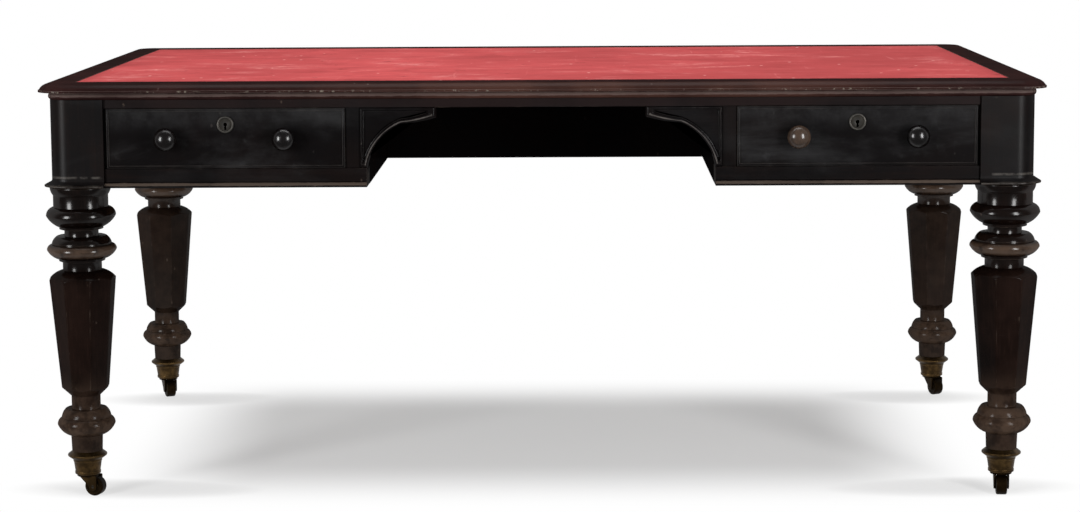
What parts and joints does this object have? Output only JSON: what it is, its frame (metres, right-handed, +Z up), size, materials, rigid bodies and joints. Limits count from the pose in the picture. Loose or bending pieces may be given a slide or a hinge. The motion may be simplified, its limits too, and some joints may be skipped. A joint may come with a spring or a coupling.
{
  "type": "writing table",
  "caption": "Ebonised partners' writing table with a leather-lined top, frieze drawers on both long sides of a kneehole, and ring-turned legs on brass cup casters.",
  "frame": {"origin": "floor, under the middle of the top", "axes": "+X along the length to the right, +Y to the back, +Z up"},
  "size_m": [1.83, 1.094, 0.77],
  "materials": {
    "ebonised_wood": "black-stained, waxed",
    "leg_wood": "black-stained turned wood, waxed",
    "turned_wood": "black-stained turned wood, polished",
    "top_wood": "dark stained, worn at its edges",
    "drawer_wood": "bare mahogany",
    "carcase_wood": "bare softwood",
    "leather": "red, worn",
    "caster_brass": "tarnished",
    "axle_steel": "bright worn steel",
    "lock_brass": "dull",
    "escutcheon_metal": "greyed"
  },
  "bodies": {
    "table": {"top_board": "carcase_wood", "leather_inset": "leather", "top_border": "top_wood", "top_rails": "ebonised_wood", "front_bottom_rails": "ebonised_wood", "back_bottom_rails": "ebonised_wood", "left_end_rail": "ebonised_wood", "right_end_rail": "ebonised_wood", "drawer_stiles": "ebonised_wood", "spandrel_brackets": "ebonised_wood", "centre_divider": "ebonised_wood", "drawer_partitions": "ebonised_wood", "drawer_runners": "carcase_wood", "drawer_kickers": "carcase_wood", "drawer_stops": "carcase_wood", "caster_cups": "caster_brass", "leg_front_left": "leg_wood", "leg_front_right": "leg_wood", "leg_back_left": "leg_wood", "leg_back_right": "leg_wood"},
    "front_left_drawer": {"front_left_drawer_front": "ebonised_wood", "front_left_drawer_sides": "drawer_wood", "front_left_drawer_back": "drawer_wood", "front_left_drawer_bottom": "drawer_wood", "front_left_drawer_knobs": "turned_wood", "front_left_drawer_lock": "lock_brass", "front_left_drawer_escutcheon": "escutcheon_metal"},
    "front_right_drawer": {"front_right_drawer_front": "ebonised_wood", "front_right_drawer_sides": "drawer_wood", "front_right_drawer_back": "drawer_wood", "front_right_drawer_bottom": "drawer_wood", "front_right_drawer_knobs": "turned_wood", "front_right_drawer_lock": "lock_brass", "front_right_drawer_escutcheon": "escutcheon_metal"},
    "back_left_drawer": {"back_left_drawer_front": "ebonised_wood", "back_left_drawer_sides": "drawer_wood", "back_left_drawer_back": "drawer_wood", "back_left_drawer_bottom": "drawer_wood", "back_left_drawer_knobs": "turned_wood", "back_left_drawer_lock": "lock_brass", "back_left_drawer_escutcheon": "escutcheon_metal"},
    "back_right_drawer": {"back_right_drawer_front": "ebonised_wood", "back_right_drawer_sides": "drawer_wood", "back_right_drawer_back": "drawer_wood", "back_right_drawer_bottom": "drawer_wood", "back_right_drawer_knobs": "turned_wood", "back_right_drawer_lock": "lock_brass", "back_right_drawer_escutcheon": "escutcheon_metal"},
    "caster_front_left": {"caster_fork_front_left": "caster_brass", "caster_axle_front_left": "axle_steel"},
    "wheel_front_left": {"caster_wheel_front_left": "caster_brass"},
    "caster_front_right": {"caster_fork_front_right": "caster_brass", "caster_axle_front_right": "axle_steel"},
    "wheel_front_right": {"caster_wheel_front_right": "caster_brass"},
    "caster_back_left": {"caster_fork_back_left": "caster_brass", "caster_axle_back_left": "axle_steel"},
    "wheel_back_left": {"caster_wheel_back_left": "caster_brass"},
    "caster_back_right": {"caster_fork_back_right": "caster_brass", "caster_axle_back_right": "axle_steel"},
    "wheel_back_right": {"caster_wheel_back_right": "caster_brass"}
  },
  "joints": [
    {"name": "front_left_drawer_slide", "type": "slide", "parent": "table", "child": "front_left_drawer", "axis": [0, -1, 0], "range_m": [0, 0.35]},
    {"name": "front_right_drawer_slide", "type": "slide", "parent": "table", "child": "front_right_drawer", "axis": [0, -1, 0], "range_m": [0, 0.35]},
    {"name": "back_left_drawer_slide", "type": "slide", "parent": "table", "child": "back_left_drawer", "axis": [0, 1, 0], "range_m": [0, 0.35]},
    {"name": "back_right_drawer_slide", "type": "slide", "parent": "table", "child": "back_right_drawer", "axis": [0, 1, 0], "range_m": [0, 0.35]},
    {"name": "caster_front_left_swivel", "type": "hinge", "parent": "table", "child": "caster_front_left", "pos_m": [-0.847, -0.467, 0.04], "axis": [0, 0, 1], "continuous": true},
    {"name": "wheel_front_left_spin", "type": "hinge", "parent": "caster_front_left", "child": "wheel_front_left", "pos_m": [-0.83251, -0.47088, 0.018], "axis": [0.2588, 0.9659, 0], "continuous": true},
    {"name": "caster_front_right_swivel", "type": "hinge", "parent": "table", "child": "caster_front_right", "pos_m": [0.847, -0.467, 0.04], "axis": [0, 0, 1], "continuous": true},
    {"name": "wheel_front_right_spin", "type": "hinge", "parent": "caster_front_right", "child": "wheel_front_right", "pos_m": [0.84569, -0.48194, 0.018], "axis": [0.9962, -0.0872, 0], "continuous": true},
    {"name": "caster_back_left_swivel", "type": "hinge", "parent": "table", "child": "caster_back_left", "pos_m": [-0.847, 0.467, 0.04], "axis": [0, 0, 1], "continuous": true},
    {"name": "wheel_back_left_spin", "type": "hinge", "parent": "caster_back_left", "child": "wheel_back_left", "pos_m": [-0.84138, 0.45309, 0.018], "axis": [0.9272, 0.3746, 0], "continuous": true},
    {"name": "caster_back_right_swivel", "type": "hinge", "parent": "table", "child": "caster_back_right", "pos_m": [0.847, 0.467, 0.04], "axis": [0, 0, 1], "continuous": true},
    {"name": "wheel_back_right_spin", "type": "hinge", "parent": "caster_back_right", "child": "wheel_back_right", "pos_m": [0.85334, 0.45341, 0.018], "axis": [0.9063, 0.4226, 0], "continuous": true}
  ]
}
